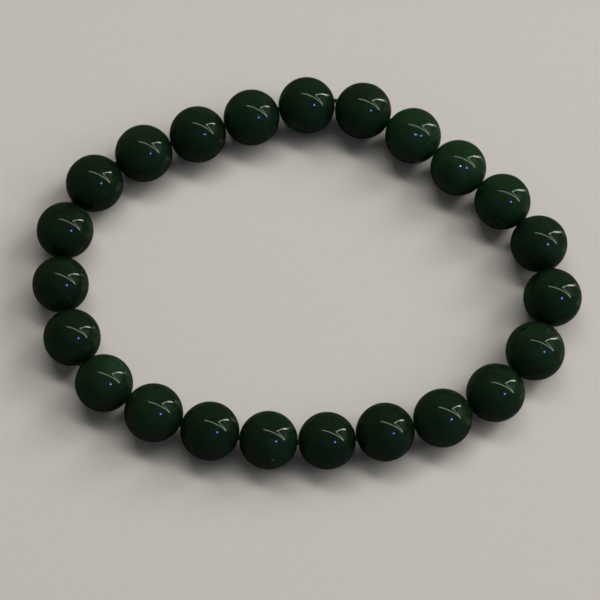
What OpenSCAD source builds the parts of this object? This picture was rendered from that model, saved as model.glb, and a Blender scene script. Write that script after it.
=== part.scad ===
// Bracelet of round, drilled stone beads on a closed elastic cord, lying flat in a loose oval.
// The origin is on the resting surface, at the middle of the oval's outer box.

/* [Beads] */
// Diameter of an ordinary bead
bead_d = 8; // [7:0.1:10]
// Gap between one bead and the next
bead_gap = 0.06; // [0.04:0.01:0.2]
// Diameter of the hole drilled through each bead
bore_d = 1; // [0.95:0.05:1.4]
// Width of the eased edge round each end of the hole
ease_w = 0.15; // [0.05:0.05:0.3]

/* [Elastic cord] */
// Diameter of the cord
cord_d = 0.7; // [0.4:0.05:0.7]
// Radius that the cord's middle line follows where it bends between two beads
cord_bend_r = 1; // [0.6:0.1:1.6]

/* [Lie of the loop] */
// Heading of the first bead's hole, in degrees from +X towards +Y
first_heading = 9; // [-20:1:40]

/* [Hidden] */
// One row for each bead, clockwise seen from above, from the middle of the far side:
// the cord's turn after the bead in degrees, and how much wider the bead is than an ordinary one.
turn = 0;
wider = 1;
beads = [
    [30, 0.05],
    [15, 0.05],
    [3, -0.05],
    [2, -0.1],
    [22, -0.1],
    [31, -0.05],
    [30, 0.1],
    [19, 0.15],
    [22, 0.05],
    [2, 0.05],
    [9, 0],
    [9, -0.15],
    [8, -0.05],
    [11, 0.05],
    [15, 0.05],
    [32, -0.05],
    [11, -0.1],
    [21, -0.15],
    [32, -0.05],
    [23, 0.1],
    [2, 0.15],
    [2, 0.05],
    [9, 0]
];
count = len(beads);
ids = [0:count - 1];
ones = [for (i = ids) 1];

function after(i) = (i + 1) % count;
function before(i) = (i + count - 1) % count;
function along(a) = [cos(a), sin(a)];
function across(a) = [-sin(a), cos(a)];
function bead_r(i) = (bead_d + beads[i][wider]) / 2;

// Half of a bead with its half of the gap
function reach(i) = bead_r(i) + bead_gap / 2;

// Turn of the cord between bead i and the next, for the headings h of all the holes
function bend(h, i) = h[i] - h[after(i)] + (after(i) == 0 ? 360 : 0);

// The cord bends at a point in line with both holes. This is how much longer the two arms from
// that point to the bead centres are than the beads' own reach, so that the beads only just miss.
function lengthening(h, i) =
    let (a = reach(i), b = reach(after(i)))
    (a + b) / sqrt(a * a + b * b + 2 * a * b * cos(bend(h, i)));
function arm_out(h, i) = lengthening(h, i) * reach(i);
function arm_in(h, i) = lengthening(h, before(i)) * reach(i);
function run_length(h, i) = arm_in(h, i) + arm_out(h, i);

// Whole degrees in the table leave the two ends of the string a little apart. Each hole is turned
// by the same small push, resolved across the hole, that brings the ends together.
function closed(h) =
    let (
        runs = [for (i = ids) run_length(h, i)],
        apart = ones * [for (i = ids) runs[i] * along(h[i])],
        xx = ones * [for (i = ids) runs[i] * pow(sin(h[i]), 2)],
        yy = ones * [for (i = ids) runs[i] * pow(cos(h[i]), 2)],
        xy = -ones * [for (i = ids) runs[i] * sin(h[i]) * cos(h[i])],
        spread = xx * yy - xy * xy,
        push = [xy * apart.y - yy * apart.x, xy * apart.x - xx * apart.y] / spread
    )
    [for (a = h) a + across(a) * push * 180 / PI];

table_headings = [for (i = 0, a = first_heading; i < count; a = a - beads[i][turn], i = i + 1) a];
headings = closed(closed(closed(table_headings)));

// Bead centres seen from above: a walk round the string, then moved to the middle of its own box
function step(i) =
    arm_out(headings, i) * along(headings[i])
    + arm_in(headings, after(i)) * along(headings[after(i)]);
walk = [for (i = 0, p = [0, 0]; i < count; p = p + step(i), i = i + 1) p];
high = [for (k = [0, 1]) max([for (i = ids) walk[i][k] + bead_r(i)])];
low = [for (k = [0, 1]) min([for (i = ids) walk[i][k] - bead_r(i)])];
centres = [for (p = walk) p - (high + low) / 2];

// Points where the cord bends, and the length that each bend takes from the straight runs beside it
bends = [for (i = ids) centres[i] + arm_out(headings, i) * along(headings[i])];
cuts = [for (i = ids) cord_bend_r * tan(bend(headings, i) / 2)];
cord_z = bead_d / 2;
cord_sides = 8;

// Sections of the cord, as [middle, heading]: one in the middle of a slight bend, and three on an
// arc round its hub where the cord turns further than this many degrees
slight_bend = 5;
function hub(i) = bends[i] - cuts[i] * along(headings[i]) - cord_bend_r * across(headings[i]);
sections = [
    for (i = ids, part = bend(headings, i) < slight_bend ? [0.5] : [0, 0.5, 1])
        let (a = headings[i] - part * bend(headings, i))
        [hub(i) + cord_bend_r * across(a), a]
];

function bead_name(i) = str("bead_", i < 9 ? "0" : "", i + 1);
$fn = 96;

// A ball with a hole along Z and a 45 degree easing at each end of the hole
module drilled_ball(d) {
    rim_r = bore_d / 2 + ease_w;
    rim_z = sqrt(pow(d / 2, 2) - pow(rim_r, 2));
    difference() {
        sphere(d = d);
        cylinder(d = bore_d, h = d + 1, center = true);
        for (end = [0, 180])
            rotate([end, 0, 0])
                translate([0, 0, rim_z - ease_w])
                    cylinder(h = 2 * ease_w, r1 = bore_d / 2, r2 = bore_d / 2 + 2 * ease_w);
    }
}

// One bead, resting on the surface with its hole along the string
module jade_bead(i) {
    color([0.05, 0.2, 0.11])
        translate([centres[i].x, centres[i].y, bead_r(i)])
            rotate([0, 90, headings[i]])
                drilled_ball(bead_d + beads[i][wider]);
}

// The whole closed cord: a tube skinned over its sections
module elastic_cord() {
    last = len(sections);
    skin_points = [
        for (s = sections, k = [0:cord_sides - 1])
            let (a = 360 * k / cord_sides, off = cord_d / 2 * cos(a) * across(s[1]))
            [s[0].x + off.x, s[0].y + off.y, cord_z + cord_d / 2 * sin(a)]
    ];
    skin_faces = [
        for (j = [0:last - 1], k = [0:cord_sides - 1])
            let (here = j * cord_sides, next = (j + 1) % last * cord_sides, up = (k + 1) % cord_sides)
            [here + k, next + k, next + up, here + up]
    ];
    color([0.55, 0.6, 0.55])
        polyhedron(skin_points, skin_faces);
}

for (i = ids)
    jade_bead(i);
elastic_cord();
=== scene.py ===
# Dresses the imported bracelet: polished jade beads on a clear elastic cord, lying on a pale floor.
import math

import bpy
import numpy as np
from mathutils import Matrix, Vector


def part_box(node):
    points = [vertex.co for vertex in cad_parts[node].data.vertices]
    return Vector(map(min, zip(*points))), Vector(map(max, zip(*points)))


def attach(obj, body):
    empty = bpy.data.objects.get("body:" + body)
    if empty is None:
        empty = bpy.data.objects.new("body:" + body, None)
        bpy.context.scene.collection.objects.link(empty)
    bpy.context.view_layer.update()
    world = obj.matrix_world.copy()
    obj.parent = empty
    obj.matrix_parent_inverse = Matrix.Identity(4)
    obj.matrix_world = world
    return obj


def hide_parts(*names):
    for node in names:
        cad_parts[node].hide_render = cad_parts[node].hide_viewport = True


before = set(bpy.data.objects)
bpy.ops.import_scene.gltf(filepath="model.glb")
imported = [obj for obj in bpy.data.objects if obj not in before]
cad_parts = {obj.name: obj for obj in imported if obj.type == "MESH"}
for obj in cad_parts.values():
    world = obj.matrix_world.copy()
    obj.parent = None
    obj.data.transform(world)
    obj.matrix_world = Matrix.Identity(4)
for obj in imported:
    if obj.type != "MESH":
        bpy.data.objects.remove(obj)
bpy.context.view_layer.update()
mm = 0.001  # in metres


# Reading the frame

beadNames = sorted(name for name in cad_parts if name.startswith("bead_"))
insideShare = 0.98  # CAD points nearer the middle than this share of the radius are in the hole


def nodePoints(name):  # every vertex of a CAD node, as rows of x, y, z
    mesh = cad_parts[name].data
    points = np.zeros(len(mesh.vertices) * 3)
    mesh.vertices.foreach_get("co", points)
    return points.reshape(-1, 3)


def fitBall(points):
    # |p|^2 = 2 p . c + r^2 - |c|^2 is linear in the centre c and in r^2 - |c|^2, so least squares
    # over the points p finds both.
    knowns = np.c_[2 * points, np.ones(len(points))]
    found = np.linalg.lstsq(knowns, (points ** 2).sum(axis=1), rcond=None)[0]
    centre = found[:3]
    return centre, math.sqrt(found[3] + centre @ centre)


def fitHole(points):
    # The points lie on rings round the two ends of the hole, farthest apart along it, which tells
    # one end from the other. The axis is the way in which both ends' rings are flattest, and the
    # radius is the points' middle distance from that axis.
    side = points @ np.linalg.svd(points, full_matrices=False)[2][0] > 0
    ends = [points[side], points[~side]]
    rings = np.concatenate([end - end.mean(axis=0) for end in ends])
    axis = np.linalg.svd(rings, full_matrices=False)[2][2]
    away = points - np.outer(points @ axis, axis)
    return axis, np.median(np.linalg.norm(away, axis=1))


def measureBeads(names):
    # A bead's outer points give its centre and radius, and the points in its hole give the hole.
    centres, radii, axes, bores = [], [], [], []
    for name in names:
        low, high = (np.array(corner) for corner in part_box(name))
        points = nodePoints(name)
        share = np.linalg.norm(points - (low + high) / 2, axis=1) / ((high - low)[2] / 2)
        centre, radius = fitBall(points[share > insideShare])
        axis, bore = fitHole(points[share < insideShare] - centre)
        centres.append(centre)
        radii.append(radius)
        axes.append(axis)
        bores.append(bore)
    centres, axes = np.array(centres), np.array(axes)
    onward = np.roll(centres, -1, axis=0) - centres
    axes *= np.sign(np.sum(axes * onward, axis=1))[:, None]  # each hole heads for the next bead
    return centres, np.array(radii), axes, float(np.mean(bores))


centres, radii, axes, boreRadius = measureBeads(beadNames)
print("beads read from the frame:", len(beadNames), "hole radius mm", round(boreRadius / mm, 3))


# Small mesh helper

def gridMesh(name, points, uv=None, values=None):
    # points is a grid whose rows and columns both close on themselves. The corners of face (i, j)
    # are the grid points i or i + 1, j or j + 1. Values are kept at points, and uv at corners.
    rows, columns = points.shape[:2]
    i = np.arange(rows)[:, None]
    j = np.arange(columns)[None, :]
    nextI, nextJ = (i + 1) % rows, (j + 1) % columns
    corners = [a * columns + b for a, b in ((i, j), (i, nextJ), (nextI, nextJ), (nextI, j))]
    quads = np.stack(corners, axis=-1).reshape(-1, 4)
    mesh = bpy.data.meshes.new(name)
    mesh.vertices.add(rows * columns)
    mesh.vertices.foreach_set("co", points.reshape(-1).astype(np.float32))
    mesh.loops.add(quads.size)
    mesh.loops.foreach_set("vertex_index", quads.reshape(-1).astype(np.int32))
    mesh.polygons.add(len(quads))
    mesh.polygons.foreach_set("loop_start", np.arange(0, quads.size, 4, dtype=np.int32))
    mesh.update(calc_edges=True)
    mesh.shade_smooth()
    for key, value in (values or {}).items():
        attribute = mesh.attributes.new(key, "FLOAT", "POINT")
        attribute.data.foreach_set("value", value.reshape(-1).astype(np.float32))
    if uv is not None:
        layer = mesh.uv_layers.new(name="along")
        layer.data.foreach_set("uv", uv(i, j).reshape(-1).astype(np.float32))
    mesh.validate()
    piece = bpy.data.objects.new(name, mesh)
    bpy.context.scene.collection.objects.link(piece)
    return piece


# Jade beads

beadShape = {
    "around": 96,  # steps round the hole
    "ballRows": 60,  # steps over the ball, from one mouth of the hole to the other
    "lipRows": 6,  # steps round each eased mouth
    "boreRows": 8,  # steps along the hole
    "lipRadius": 0.2 * mm,  # roundness of the eased mouth
    "handWork": 0.014 * mm,  # how far hand polishing takes the ball inside a true one
    "waves": 7,  # gentle swellings that make up that unevenness
    "waveTurns": 2.2,  # how fast they rise and fall over one radius
    "meetPower": 8,  # the higher, the less of a bead is drawn out to meet its neighbours
    "toneSpread": 0.03,  # how far from usual the tone of a bead with none below may be
    "cloudEdge": 4,  # the higher, the more sharply a cloud or painted glow below ends
    "seed": 23,
}

# How much lighter than usual each bead is, and below 0 how much darker: partly the stone's own tone
# and partly painted light, lighter to the far right towards the lamps, darker to the left and near
# side.
beadTonesAndLight = {
    1: 0.02, 2: 0.05, 3: 0.45, 4: 0.62, 5: 0.4, 6: 0.0, 7: 0.05, 8: 0.23, 9: 0.05, 10: 0.11,
    11: -0.11, 12: -0.12, 13: -0.07, 14: -0.11, 15: 0.07, 16: 0.04, 17: -0.19, 18: -0.22,
    19: -0.15, 20: -0.13, 21: 0.05, 22: -0.09, 23: 0.03,
}

# Pale patches in single beads: bead, direction from its centre, how wide in radians, how strong.
# Bead 16's is a pale cloud in the stone; those of beads 3, 4, 8 and 10 are painted glow, light
# coming through the stone on the sides away from the lamps.
beadCloudsAndGlows = [
    {"bead": 16, "towards": (0.54, 0.42, 0.73), "wide": 0.48, "strength": 0.85},
    {"bead": 4, "towards": (-0.7, 0.1, 0.6), "wide": 0.5, "strength": 0.12},
    {"bead": 3, "towards": (-0.6, 0.5, 0.5), "wide": 0.5, "strength": 0.12},
    {"bead": 8, "towards": (0.1, -0.5, 0.8), "wide": 0.45, "strength": 0.15},
    {"bead": 10, "towards": (-0.8, -0.2, 0.5), "wide": 0.5, "strength": 0.2},
]


def beadProfile(radius, bore, shape):
    # Half a section through a bead, as distance along the hole's axis and away from it. It runs
    # over the ball on a circle of the bead's radius, turns in round a small circle that touches
    # both ball and hole, goes back through the hole, and comes out round a like circle there.
    lip = shape["lipRadius"]
    lipAway = bore + lip
    lipAlong = math.sqrt((radius - lip) ** 2 - lipAway ** 2)
    edge = math.asin(lipAway / (radius - lip))
    ball = np.linspace(edge, math.pi - edge, shape["ballRows"] + 1)
    turn = np.linspace(edge, -math.pi / 2, shape["lipRows"] + 1)[1:]
    hole = np.linspace(-lipAlong, lipAlong, shape["boreRows"] + 1)[1:-1]
    lipX, lipR = lipAlong + lip * np.cos(turn), lipAway + lip * np.sin(turn)
    along = np.concatenate([radius * np.cos(ball), -lipX, hole, lipX[::-1]])
    away = np.concatenate([radius * np.sin(ball), lipR, np.full(len(hole), bore), lipR[::-1]])
    return along, away, len(ball)


def handPolished(local, radius, rng, shape):
    # Each point is drawn in towards the centre by half of handWork times one plus the mean of a
    # few sine waves that run across the ball in random directions.
    waves = rng.normal(size=(shape["waves"], 3)) * shape["waveTurns"]
    phases = rng.uniform(0, 2 * np.pi, shape["waves"])
    swell = np.sin(local / radius @ waves.T + phases).mean(axis=-1)
    return local * (1 - shape["handWork"] / radius * (1 + swell) / 2)[..., None]


def drawnOut(local, index, shape):
    # Beads on a stretched cord press on each other. Each point is moved out from the centre by half
    # the gap to each neighbour times cosine ^ meetPower, where the cosine is the one between the
    # point's direction and the way to that neighbour.
    heading = local / np.linalg.norm(local, axis=-1, keepdims=True)
    share = np.zeros(local.shape[:2])
    for other in (index - 1, (index + 1) % len(centres)):
        way = centres[other] - centres[index]
        span = np.linalg.norm(way)
        half = (span - radii[index] - radii[other]) / 2
        share += half / radii[index] * np.clip(heading @ (way / span), 0, 1) ** shape["meetPower"]
    return local * (1 + share)[..., None]


def toneWithPaintedLight(local, number, rng, shape):
    # The bead's tone from the table, partly painted light, plus for each of its clouds and painted
    # glows strength * exp(-(angle / wide) ^ cloudEdge), where the angle is between a point and the
    # cloud's middle, as the bead's centre sees them.
    chance = rng.uniform(-shape["toneSpread"], shape["toneSpread"])
    tone = np.full(local.shape[:2], beadTonesAndLight.get(number, chance))
    heading = local / np.linalg.norm(local, axis=-1, keepdims=True)
    for cloud in beadCloudsAndGlows:
        if cloud["bead"] == number:
            middle = np.array(Vector(cloud["towards"]).normalized())
            angle = np.arccos(np.clip(heading @ middle, -1, 1))
            tone += cloud["strength"] * np.exp(-(angle / cloud["wide"]) ** shape["cloudEdge"])
    return tone


def jadeBead(index, rng, shape):
    # The profile turned round the hole's axis: along * axis + away * (cos(a) * side + sin(a) * up).
    radius, axis = radii[index], axes[index]
    along, away, ballCount = beadProfile(radius, boreRadius, shape)
    angle = 2 * np.pi * np.arange(shape["around"]) / shape["around"]
    up = np.array([0.0, 0.0, 1.0])
    side = np.cross(up, axis)
    ring = np.cos(angle)[:, None] * side + np.sin(angle)[:, None] * up
    local = along[:, None, None] * axis + away[:, None, None] * ring[None, :, :]
    local = drawnOut(handPolished(local, radius, rng, shape), index, shape)
    drilled = np.ones(local.shape[:2])
    drilled[:ballCount] = 0
    # The tone attribute holds the stone's tone together with painted light and painted glow.
    values = {"drilled": drilled, "tone": toneWithPaintedLight(local, index + 1, rng, shape)}
    return gridMesh("jade_" + beadNames[index], local + centres[index], values=values)


# Elastic cord

cordShape = {
    "sides": 16,  # round the cord
    "bendRadius": 1.0 * mm,  # that its middle line follows at each bend
    "bendRows": 7,  # rings round one bend
    "straightRows": 3,  # rings between one bend and the next, along the hole
}


def cordRoute(shape):
    # Each hole's line meets the next one's at a corner, longer * reach along it from the bead's
    # centre. Reach is the bead's radius plus half the gap, and longer is
    # span / sqrt(reach ^ 2 + nextReach ^ 2 + 2 * reach * nextReach * cos(bend)).
    # Round each corner the cord follows an arc of bendRadius that touches both lines.
    following = np.roll(centres, -1, axis=0)
    nextAxes = np.roll(axes, -1, axis=0)
    span = np.linalg.norm((following - centres)[:, :2], axis=1)
    spare = span - radii - np.roll(radii, -1)
    reach = radii + spare / 2
    nextReach = np.roll(radii, -1) + spare / 2
    headings = np.arctan2(axes[:, 1], axes[:, 0])
    bends = (headings - np.arctan2(nextAxes[:, 1], nextAxes[:, 0]) + np.pi) % (2 * np.pi) - np.pi
    longer = span / np.sqrt(reach ** 2 + nextReach ** 2 + 2 * reach * nextReach * np.cos(bends))
    corners = centres[:, :2] + (longer * reach)[:, None] * axes[:, :2]
    cuts = shape["bendRadius"] * np.tan(bends / 2)
    across = np.stack([-np.sin(headings), np.cos(headings)], axis=1)
    hubs = corners - cuts[:, None] * axes[:, :2] - shape["bendRadius"] * across
    part = np.linspace(0, 1, shape["bendRows"])[None, :]
    turned = headings[:, None] - part * bends[:, None]
    circle = np.stack([-np.sin(turned), np.cos(turned)], axis=-1)
    arcs = hubs[:, None, :] + shape["bendRadius"] * circle
    share = (np.arange(shape["straightRows"]) + 1) / (shape["straightRows"] + 1)
    ends, starts = arcs[:, -1], np.roll(arcs[:, 0], -1, axis=0)
    runs = ends[:, None, :] + share[None, :, None] * (starts - ends)[:, None, :]
    straight = np.repeat(turned[:, -1:], shape["straightRows"], axis=1)
    route = np.concatenate([arcs, runs], axis=1).reshape(-1, 2)
    return route, np.concatenate([turned, straight], axis=1).reshape(-1)


def elasticCord(shape):
    # A circle carried round the closed route: middle + radius * (cos(a) * across + sin(a) * up).
    low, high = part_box("elastic_cord")
    radius, height = (high.z - low.z) / 2, (high.z + low.z) / 2
    route, heading = cordRoute(shape)
    angle = 2 * np.pi * np.arange(shape["sides"]) / shape["sides"]
    across = np.stack([-np.sin(heading), np.cos(heading)], axis=1)
    points = np.zeros((len(route), shape["sides"], 3))
    points[..., :2] = route[:, None, :] + radius * np.cos(angle)[None, :, None] * across[:, None, :]
    points[..., 2] = height + radius * np.sin(angle)[None, :]
    steps = np.linalg.norm(np.roll(route, -1, axis=0) - route, axis=1)
    length = np.concatenate([[0], np.cumsum(steps)])
    print("elastic cord, middle line mm:", round(length[-1] / mm, 1))

    def uv(i, j):  # metres along the cord, and turns round it
        corners = ((i, j), (i, j + 1), (i + 1, j + 1), (i + 1, j))
        whole = [np.broadcast_arrays(length[a], b / shape["sides"]) for a, b in corners]
        return np.stack([np.stack(pair, axis=-1) for pair in whole], axis=-2)

    return gridMesh("clear_elastic_cord", points, uv=uv)


# Material helpers

def newMaterial(name):  # a new material, its node tree and its shader
    material = bpy.data.materials.new(name)
    material.use_nodes = True
    tree = material.node_tree
    return material, tree, tree.nodes["Principled BSDF"]


def addNode(tree, kind, **settings):  # a new node, with values for its inputs or its settings
    node = tree.nodes.new(kind)
    for key, value in settings.items():
        if key in node.inputs:
            node.inputs[key].default_value = value
        else:
            setattr(node, key, value)
    return node


def feed(tree, socket, value):  # puts a number on a socket, or links another socket to it
    if isinstance(value, bpy.types.NodeSocket):
        tree.links.new(value, socket)
    else:
        socket.default_value = value


def mathNode(tree, operation, *values):  # one operation on numbers or sockets
    node = addNode(tree, "ShaderNodeMath", operation=operation)
    for socket, value in zip(node.inputs, values):
        feed(tree, socket, value)
    return node.outputs[0]


def vectorNode(tree, operation, *values, output=0):  # the same on vectors
    node = addNode(tree, "ShaderNodeVectorMath", operation=operation)
    for socket, value in zip(node.inputs, values):
        feed(tree, socket, value)
    return node.outputs[output]


def spread(tree, value, low, high, toLow=0.0, toHigh=1.0):  # low to high becomes toLow to toHigh
    numbers = {"From Min": low, "From Max": high, "To Min": toLow, "To Max": toHigh}
    node = addNode(tree, "ShaderNodeMapRange", **numbers)
    tree.links.new(value, node.inputs["Value"])
    return node.outputs["Result"]


def noise(tree, where, perMetre, detail=4, rough=0.55, twist=0.0, kind="FBM", between=(0.3, 0.7)):
    # A noise texture, stretched so that its values between the two given ones fill 0 to 1.
    numbers = {"Scale": perMetre, "Detail": detail, "Roughness": rough, "Distortion": twist}
    node = addNode(tree, "ShaderNodeTexNoise", noise_type=kind, **numbers)
    tree.links.new(where, node.inputs["Vector"])
    return spread(tree, node.outputs["Fac"], *between)


def layered(tree, where, start, layers):  # start + the sum of each layer's noise * what it adds
    total = start
    for layer in layers.values():
        settings = {key: value for key, value in layer.items() if key != "adds"}
        total = mathNode(tree, "MULTIPLY_ADD", noise(tree, where, **settings), layer["adds"], total)
    return total


def ramp(tree, value, stops):  # colours at places from 0 to 1, with both ends given first
    node = tree.nodes.new("ShaderNodeValToRGB")
    elements = node.color_ramp.elements
    for place, colour in stops[2:]:
        elements.new(place)
    for element, (place, colour) in zip(elements, sorted(stops)):
        element.position, element.color = place, (*colour, 1)
    tree.links.new(value, node.inputs["Fac"])
    return node.outputs["Color"]


# Polished jade

jadeLook = {
    # The stone's colours, and where each stands on a scale of tone from dark to pale.
    "darkest": {"tone": 0.0, "colour": (0.0027, 0.0061, 0.0027)},
    "body": {"tone": 0.32, "colour": (0.0051, 0.0133, 0.0057)},
    "cloud": {"tone": 0.7, "colour": (0.0086, 0.0241, 0.0109)},
    "palest": {"tone": 1.0, "colour": (0.028, 0.0565, 0.0245)},
    "startTone": 0.15,  # of the darkest ordinary stone, before the layers add to it
    "layers": {
        "clouds": {"perMetre": 170, "detail": 3, "twist": 1.4, "between": (0.3, 0.72), "adds": 0.2},
        "mottle": {"perMetre": 650, "detail": 5, "rough": 0.6, "twist": 0.6, "adds": 0.1},
        "fibres": {
            "perMetre": 420,
            "rough": 0.5,
            "twist": 2.5,
            "kind": "RIDGED_MULTIFRACTAL",
            "between": (0.55, 1.1),
            "adds": 0.1,
        },
    },
    "beadShare": 0.5,  # how much of the scale a bead's tone of 1, painted light included, moves it
    "drilledShare": 0.35,  # how much paler the unpolished hole is
    "fleck": {"bead": 13, "towards": (0.17, -0.83, 0.53), "wide": 0.36 * mm, "adds": 1.6},
    "translucence": 0.35,  # share of the light that goes in and wanders before it comes out
    "glowDepth": (0.26, 0.7, 0.39),  # how far red, green and blue light wander inside, in mm
    "refraction": 1.61,
    "polish": 0.045,  # roughness of the polished ball, before wear adds to it
    "wear": {
        "smears": {
            "perMetre": 320,
            "detail": 3,
            "rough": 0.6,
            "twist": 1.0,
            "between": (0.5, 0.75),
            "adds": 0.05,
        },
        "fine": {"perMetre": 5200, "detail": 3, "rough": 0.6, "adds": 0.015},
    },
    "drilledRoughness": 0.5,  # that the hole has on top
    "uneven": {"perMetre": 900, "detail": 4},
    "unevenDepth": 0.0008 * mm,  # how deep the polish leaves the stone uneven
}


def jadeMaterial(look):
    # The tone is the sum of the noise layers, the bead's tone (partly painted light and glow), the
    # paler hole and one pale fleck that fades out from a point on its bead. The ramp turns tone
    # into colour.
    material, tree, shader = newMaterial("polished_jade")
    link = tree.links.new
    where = tree.nodes.new("ShaderNodeTexCoord").outputs["Object"]
    # The bead's tone: the stone's own together with painted light and painted glow.
    paintedLightAndTone = addNode(tree, "ShaderNodeAttribute", attribute_name="tone").outputs["Fac"]
    drilled = addNode(tree, "ShaderNodeAttribute", attribute_name="drilled").outputs["Fac"]
    fleck = look["fleck"]
    fleckWay = np.array(Vector(fleck["towards"]).normalized())
    fleckPlace = centres[fleck["bead"] - 1] + radii[fleck["bead"] - 1] * fleckWay
    apart = vectorNode(tree, "DISTANCE", where, fleckPlace, output="Value")
    tone = layered(tree, where, look["startTone"], look["layers"])
    tone = mathNode(tree, "MULTIPLY_ADD", paintedLightAndTone, look["beadShare"], tone)
    tone = mathNode(tree, "MULTIPLY_ADD", drilled, look["drilledShare"], tone)
    tone = mathNode(tree, "ADD", tone, spread(tree, apart, 0, fleck["wide"], fleck["adds"], 0))
    stops = [look[key] for key in ("darkest", "palest", "body", "cloud")]
    colour = ramp(tree, tone, [(stop["tone"], stop["colour"]) for stop in stops])
    link(colour, shader.inputs["Base Color"])
    rough = layered(tree, where, look["polish"], look["wear"])
    rough = mathNode(tree, "MULTIPLY_ADD", drilled, look["drilledRoughness"], rough)
    link(rough, shader.inputs["Roughness"])
    bump = addNode(tree, "ShaderNodeBump", Distance=look["unevenDepth"])
    link(noise(tree, where, **look["uneven"]), bump.inputs["Height"])
    link(bump.outputs["Normal"], shader.inputs["Normal"])
    shader.subsurface_method = "RANDOM_WALK_SKIN"
    shader.inputs["Subsurface Weight"].default_value = look["translucence"]
    shader.inputs["Subsurface Radius"].default_value = look["glowDepth"]
    shader.inputs["Subsurface Scale"].default_value = mm
    shader.inputs["Subsurface IOR"].default_value = look["refraction"]
    shader.inputs["IOR"].default_value = look["refraction"]
    return material


# Clear elastic

elasticLook = {
    "colour": (0.14, 0.18, 0.14),
    "haze": (0.11, 0.14, 0.11),  # where it is stretched cloudy
    # The streaks' noise keeps a scale of 1, because the two numbers below it scale the cord's map.
    "streaks": {"perMetre": 1, "detail": 4, "rough": 0.6, "between": (0.35, 0.7)},
    "streaksAlong": 600,  # in each metre of cord
    "streaksRound": 9,
    "streakDepth": 0.002 * mm,
    "clearness": 0.92,
    "roughness": (0.16, 0.32),  # where it is clear and where it is hazy
    "refraction": 1.48,
}


def elasticMaterial(look):
    # Streaks are a noise on the cord's own map, long along the cord and narrow round it.
    material, tree, shader = newMaterial("clear_elastic")
    link = tree.links.new
    place = addNode(tree, "ShaderNodeMapping")
    place.inputs["Scale"].default_value = (look["streaksAlong"], look["streaksRound"], 1)
    link(tree.nodes.new("ShaderNodeUVMap").outputs["UV"], place.inputs["Vector"])
    streaks = noise(tree, place.outputs["Vector"], **look["streaks"])
    colour = ramp(tree, streaks, [(0.0, look["colour"]), (1.0, look["haze"])])
    link(colour, shader.inputs["Base Color"])
    link(spread(tree, streaks, 0, 1, *look["roughness"]), shader.inputs["Roughness"])
    bump = addNode(tree, "ShaderNodeBump", Distance=look["streakDepth"])
    link(streaks, bump.inputs["Height"])
    link(bump.outputs["Normal"], shader.inputs["Normal"])
    shader.inputs["Transmission Weight"].default_value = look["clearness"]
    shader.inputs["IOR"].default_value = look["refraction"]
    return material


jade = jadeMaterial(jadeLook)
clearElastic = elasticMaterial(elasticLook)
print("materials ready")

beadRandom = np.random.default_rng(beadShape["seed"])
for index, node in enumerate(beadNames):
    bead = jadeBead(index, beadRandom, beadShape)
    bead.data.materials.append(jade)
    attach(bead, "root")
    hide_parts(node)
print("jade beads made:", len(beadNames))

cord = elasticCord(cordShape)
cord.data.materials.append(clearElastic)
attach(cord, "root")
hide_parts("elastic_cord")
print("elastic cord made")


# Lamps. A glow is how bright a lamp's face is. The lamps show in the polish of the beads and
# light nothing else, and the soft strips and fill light everything and don't show in the polish.

radiancePerWatt = 0.25  # an area lamp's glow for one watt on each square metre
lampColour = (0.93, 1.0, 0.8)  # of the thin lamps and the panel
softColour = (1, 1, 1)  # of the soft strips


def direction(azimuth, height):  # from the middle of the bracelet, in degrees
    a, h = math.radians(azimuth), math.radians(height)
    return Vector((math.cos(a) * math.cos(h), math.sin(a) * math.cos(h), math.sin(h)))


def areaLamp(name, place, wide, tall, glow, colour, along=None, aim=(0, 0, 0)):
    # Its wide side runs along a given line, or level where none is given, and it is turned about
    # that side to face its aim. Its power is glow * wide * tall / radiancePerWatt.
    lamp = bpy.data.lights.new(name, "AREA")
    lamp.shape = "RECTANGLE"
    lamp.size, lamp.size_y = wide, tall
    lamp.energy = glow * wide * tall / radiancePerWatt
    lamp.color = colour
    away = place - Vector(aim)
    if along is None:
        along = Vector((0, 0, 1)).cross(away)
    side = along.normalized()
    back = (away - side * away.dot(side)).normalized()
    turn = Matrix((side, back.cross(side), back)).transposed().to_4x4()
    piece = bpy.data.objects.new(name, lamp)
    piece.matrix_world = Matrix.Translation(place) @ turn
    piece.visible_camera = False
    piece.visible_diffuse = False
    piece.visible_transmission = False
    bpy.context.scene.collection.objects.link(piece)
    return piece


# Thin lamps whose images show as bright lines in every bead: the points each runs through, in
# metres, and how wide and bright each of its straight parts is.
lampLines = {
    "lamp_long": {
        "points": ((-0.46, 0.69, 1.25), (0.67, 0.31, 1.31), (1.39, -0.16, 0.53)),
        "wide": (0.055, 0.06),
        "glow": (3.3, 3.2),
    },
    "lamp_low": {
        "points": ((0.81, 0.545, 1.14), (1.15, 0.77, 0.58), (1.29, 0.758, 0.0)),
        "wide": (0.065, 0.095),
        "glow": (4.0, 6.4),
    },
    "lamp_slant": {
        "points": ((0.81, 0.545, 1.14), (1.39, -0.16, 0.53)),
        "wide": (0.045,),
        "glow": (3.2,),
    },
}


def straightPart(line, k):  # the middle of one straight part of a line, and the way along it
    start, end = Vector(line["points"][k]), Vector(line["points"][k + 1])
    return (start + end) / 2, end - start


def hangLines(lines):
    for name, line in lines.items():
        for k, (wide, glow) in enumerate(zip(line["wide"], line["glow"])):
            middle, run = straightPart(line, k)
            partName = "%s_%d" % (name, k + 1)
            areaLamp(partName, middle, run.length, wide, glow, lampColour, along=run)


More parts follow.
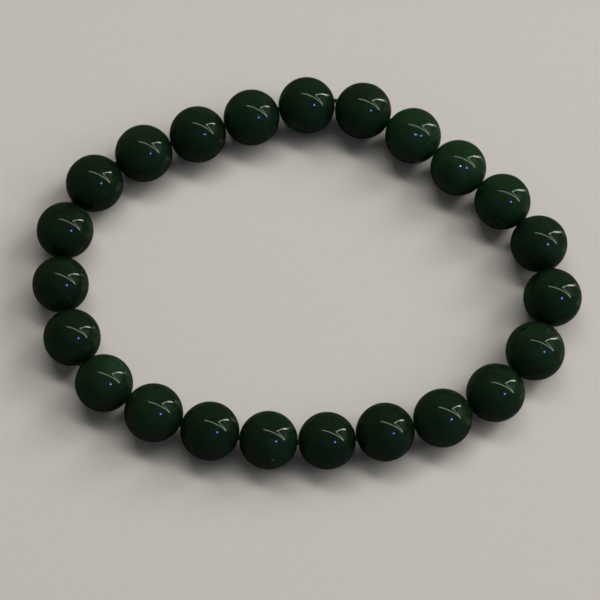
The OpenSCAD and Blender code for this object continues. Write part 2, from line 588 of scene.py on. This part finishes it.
# A small bluish lamp, with a fainter halo of discs one behind another.
lampDot = {
    "azimuth": -30.9,
    "height": 53,
    "away": 1.5,
    "apart": 0.015,  # from one disc to the next
    "core": {"wide": 0.075, "glow": 20.0, "colour": (0.62, 0.68, 1.0)},
    "halo": {"wide": (0.17, 0.27, 0.39), "glow": 0.6, "colour": (0.06, 0.12, 1.0)},
}


def hangDot(dot):
    # The smallest disc is the nearest. Each disc gets the power of the square round it.
    core, halo = dot["core"], dot["halo"]
    discs = [(core["wide"], core)] + [(wide, halo) for wide in halo["wide"]]
    for k, (wide, look) in enumerate(discs):
        place = direction(dot["azimuth"], dot["height"]) * (dot["away"] + k * dot["apart"])
        disc = areaLamp("lamp_dot_%d" % (k + 1), place, wide, wide, look["glow"], look["colour"])
        disc.data.shape = "DISK"


# A second dot that only two neighbouring beads show: a small lamp near them with a narrow beam.
lampPair = {
    "bead": 3,  # the first of the two
    "towards": (0.09, -0.28, 0.955),
    "away": 0.12,
    "wide": 0.0056,
    "glow": 0.32,
    "beam": 6.6,  # degrees
    "colour": (0.32, 0.42, 1.0),
}


def hangPair(pair):
    between = Vector((centres[pair["bead"] - 1] + centres[pair["bead"]]) / 2)
    place = between + Vector(pair["towards"]).normalized() * pair["away"]
    wide = pair["wide"]
    lamp = areaLamp("lamp_pair", place, wide, wide, pair["glow"], pair["colour"], aim=between)
    lamp.data.spread = math.radians(pair["beam"])


# A dim wide panel that shows as a pale haze below the lines.
lampPanel = {"azimuth": 13, "height": 22, "away": 1.5, "wide": 0.7, "tall": 0.5, "glow": 0.16}


def hangPanel(panel):
    place = direction(panel["azimuth"], panel["height"]) * panel["away"]
    areaLamp("lamp_panel", place, panel["wide"], panel["tall"], panel["glow"], lampColour)


# What lights the scene: a wide soft strip along each of three straight parts of the lines above,
# and a weak fill from high up, from a patch of sky as many degrees wide as its softness. Part 0
# is the first straight part of a line.
softStrips = {
    "soft_far": {"line": "lamp_long", "part": 0, "wide": 0.25, "glow": 6.5},
    "soft_near": {"line": "lamp_long", "part": 1, "wide": 0.4, "glow": 3.3},
    "soft_low": {"line": "lamp_low", "part": 0, "wide": 0.4, "glow": 7.2},
}
softFill = {"azimuth": 200, "height": 75, "softness": 120, "strength": 0.22}


def softLights(strips, fill):
    for name, strip in strips.items():
        middle, run = straightPart(lampLines[strip["line"]], strip["part"])
        wide, glow = strip["wide"], strip["glow"]
        soft = areaLamp(name, middle, run.length, wide, glow, softColour, along=run)
        soft.visible_diffuse = True
        soft.visible_glossy = False
    sun = bpy.data.lights.new("soft_fill", "SUN")
    sun.energy, sun.angle = fill["strength"], math.radians(fill["softness"])
    sky = bpy.data.objects.new("soft_fill", sun)
    sky.rotation_mode = "QUATERNION"
    sky.rotation_quaternion = direction(fill["azimuth"], fill["height"]).to_track_quat("Z", "Y")
    sky.visible_glossy = False
    bpy.context.scene.collection.objects.link(sky)


# Floor and surroundings

floorLook = {
    "wide": 6.0,
    "colour": (0.62, 0.585, 0.53),
    "grain": {"perMetre": 900, "detail": 3, "rough": 0.6},
    "grainPaler": 1.03,  # times the colour, where the grain is palest
    "inPolish": 0.08,  # how bright the floor is in the beads' polish, beside what the camera sees
    "gloss": 0.2,  # its roughness there
    "fadeFrom": 0.12,  # metres from the bracelet's middle where the floor starts to fade
    "fadeTo": 0.45,  # and where it has become the backdrop
}
skyLook = {
    "backdrop": (0.53, 0.505, 0.455),  # what the camera sees beyond the floor
    # What all else sees there: from far to near, more near the horizon, and round the blue lamp.
    "far": (0.030, 0.029, 0.013),
    "near": (0.012, 0.015, 0.020),
    "depth": (-0.5, 0.6),  # the direction's Y where it is all near and where it is all far
    "low": (0.026, 0.024, 0.017),
    "lowUpTo": 0.35,  # the direction's Z where the glow near the horizon has faded
    "blue": (0.005, 0.012, 0.036),
    "blueFrom": 0.65,  # the cosine with the way to the blue lamp where its glow starts
}


def choose(tree, share, usual, other):  # mixes two shaders by a share of the other from 0 to 1
    node = tree.nodes.new("ShaderNodeMixShader")
    for socket, value in zip(node.inputs, (share, usual, other)):
        tree.links.new(value, socket)
    return node.outputs[0]


def paleFloor(look, backdrop):
    # The camera sees a matt floor that fades into the backdrop with distance from the bracelet.
    # The beads' polish sees a darker, satin one.
    half = look["wide"] / 2
    corners = [(-half, -half, 0), (half, -half, 0), (half, half, 0), (-half, half, 0)]
    mesh = bpy.data.meshes.new("floor")
    mesh.from_pydata(corners, [], [(0, 1, 2, 3)])
    floor = bpy.data.objects.new("floor", mesh)
    bpy.context.scene.collection.objects.link(floor)
    material, tree, satin = newMaterial("pale_floor")
    rays = tree.nodes.new("ShaderNodeLightPath").outputs
    where = tree.nodes.new("ShaderNodeTexCoord").outputs["Object"]
    paler = tuple(look["grainPaler"] * part for part in look["colour"])
    pale = ramp(tree, noise(tree, where, **look["grain"]), [(0.0, look["colour"]), (1.0, paler)])
    dark = vectorNode(tree, "MULTIPLY", pale, (look["inPolish"],) * 3)
    tree.links.new(dark, satin.inputs["Base Color"])
    satin.inputs["Roughness"].default_value = look["gloss"]
    matt = tree.nodes.new("ShaderNodeBsdfDiffuse")
    tree.links.new(pale, matt.inputs["Color"])
    plain = addNode(tree, "ShaderNodeEmission", Color=(*backdrop, 1))
    distance = vectorNode(tree, "LENGTH", where, output="Value")
    faded = spread(tree, distance, look["fadeFrom"], look["fadeTo"])
    faded = mathNode(tree, "MULTIPLY", faded, rays["Is Camera Ray"])
    surface = choose(tree, faded, matt.outputs[0], plain.outputs[0])
    surface = choose(tree, rays["Is Glossy Ray"], surface, satin.outputs[0])
    tree.links.new(surface, tree.nodes["Material Output"].inputs["Surface"])
    mesh.materials.append(material)


def studioSky(look):
    # The camera sees the backdrop. Everything else sees the sum of three ramps of colour, by the
    # direction's Y, by its Z, and by its cosine with the way to the blue lamp.
    world = bpy.data.worlds.new("studio")
    world.use_nodes = True
    tree = world.node_tree
    way = tree.nodes.new("ShaderNodeTexCoord").outputs["Generated"]
    parts = tree.nodes.new("ShaderNodeSeparateXYZ")
    tree.links.new(way, parts.inputs[0])
    lampWay = direction(lampDot["azimuth"], lampDot["height"])
    nearness = vectorNode(tree, "DOT_PRODUCT", way, lampWay, output="Value")
    black = (0, 0, 0)
    depth = spread(tree, parts.outputs["Y"], *look["depth"])
    depth = ramp(tree, depth, [(0.0, look["near"]), (1.0, look["far"])])
    low = spread(tree, parts.outputs["Z"], 0.0, look["lowUpTo"])
    low = ramp(tree, low, [(0.0, look["low"]), (1.0, black)])
    blue = spread(tree, nearness, look["blueFrom"], 1.0)
    blue = ramp(tree, blue, [(0.0, black), (1.0, look["blue"])])
    total = vectorNode(tree, "ADD", vectorNode(tree, "ADD", depth, low), blue)
    sky = tree.nodes["Background"]
    tree.links.new(total, sky.inputs["Color"])
    backdrop = addNode(tree, "ShaderNodeBackground", Color=(*look["backdrop"], 1))
    seen = tree.nodes.new("ShaderNodeLightPath").outputs["Is Camera Ray"]
    surface = choose(tree, seen, sky.outputs[0], backdrop.outputs[0])
    tree.links.new(surface, tree.nodes["World Output"].inputs["Surface"])
    bpy.context.scene.world = world


hangLines(lampLines)
hangDot(lampDot)
hangPair(lampPair)
hangPanel(lampPanel)
softLights(softStrips, softFill)
paleFloor(floorLook, skyLook["backdrop"])
studioSky(skyLook)


# Camera

cameraPlace = {
    "lens": 120,  # in mm, as is the sensor
    "sensor": 36,
    "azimuth": -90,  # degrees, the near side of the bracelet
    "height": 72.11,  # degrees above the floor
    "away": 281.45 * mm,
    "aim": (-0.924 * mm, -3.385 * mm, 0),
    "sees": (0.01, 20),  # nearest and farthest
}


def addCamera(place):
    # The camera stands at aim + away * direction, and looks back along that direction.
    data = bpy.data.cameras.new("camera")
    data.lens, data.sensor_width = place["lens"], place["sensor"]
    data.clip_start, data.clip_end = place["sees"]
    camera = bpy.data.objects.new("camera", data)
    back = direction(place["azimuth"], place["height"])
    camera.location = Vector(place["aim"]) + back * place["away"]
    camera.rotation_mode = "QUATERNION"
    camera.rotation_quaternion = back.to_track_quat("Z", "Y")
    bpy.context.scene.collection.objects.link(camera)
    bpy.context.scene.camera = camera


addCamera(cameraPlace)
bpy.context.scene.view_settings.view_transform = "Standard"
print("floor, lights and camera ready")
